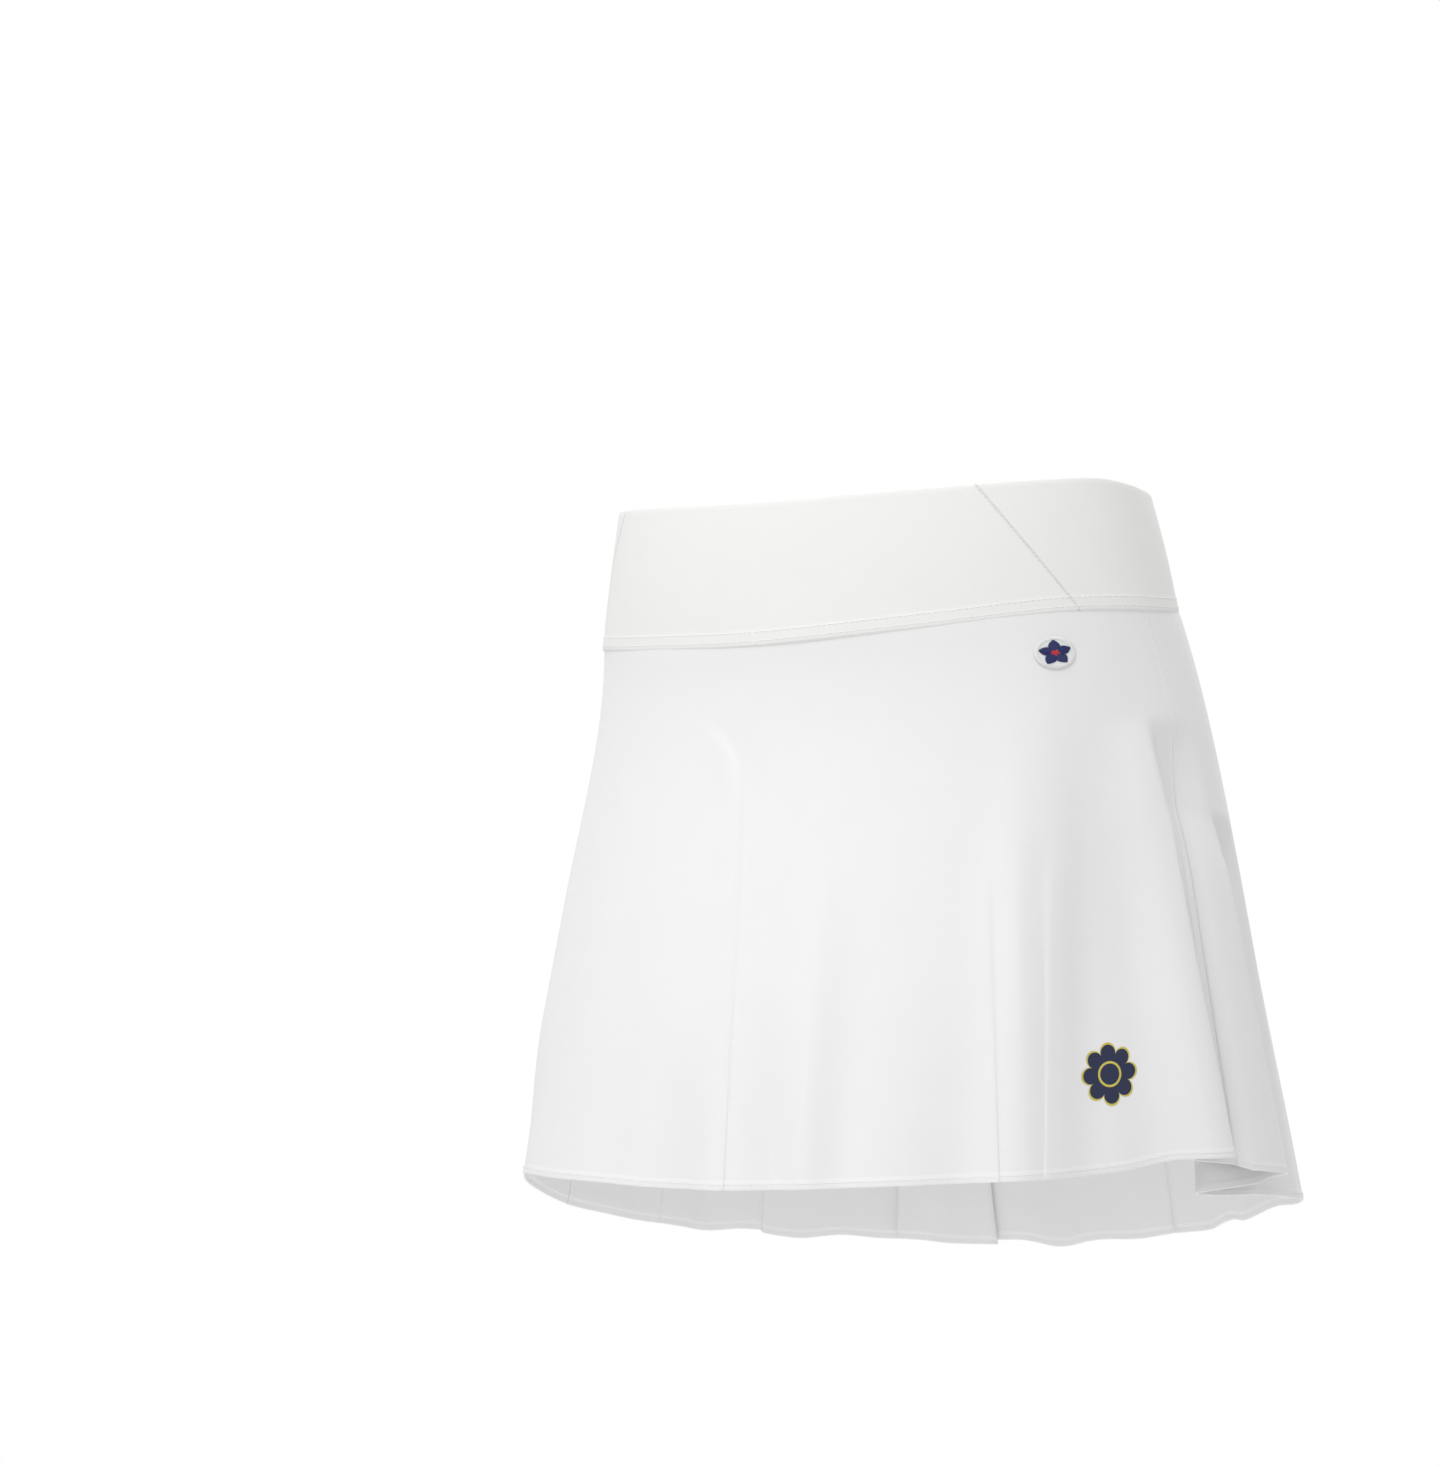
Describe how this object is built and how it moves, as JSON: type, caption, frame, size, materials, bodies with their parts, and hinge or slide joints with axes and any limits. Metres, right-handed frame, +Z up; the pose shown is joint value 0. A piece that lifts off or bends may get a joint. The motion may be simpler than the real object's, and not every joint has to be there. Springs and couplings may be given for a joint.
{
  "type": "pleated sports skort",
  "caption": "Women's sports skort with a wide waistband, a flared pleated skirt longer behind than in front, and close shorts sewn inside, standing open as worn.",
  "frame": {"origin": "centre of the waist opening at the mean height of the waistband's top edge", "axes": "+Z up out of the waist, -Y the garment's front, +X the wearer's left"},
  "size_m": [0.4147, 0.336, 0.3794],
  "materials": {
    "waistband_knit": "smooth doubled knit, warm white",
    "skirt_knit": "fine matte knit, cool white",
    "shorts_knit": "fine matte stretch knit, white",
    "patch_embroidery": "dense satin embroidery, blue on white"
  },
  "bodies": {
    "root": {"waistband_front": "waistband_knit", "waistband_side_left": "waistband_knit", "waistband_back": "waistband_knit", "waistband_side_right": "waistband_knit", "skirt_front": "skirt_knit", "skirt_back": "skirt_knit", "shorts_left": "shorts_knit", "shorts_right": "shorts_knit", "hip_patch": "patch_embroidery"}
  },
  "joints": []
}
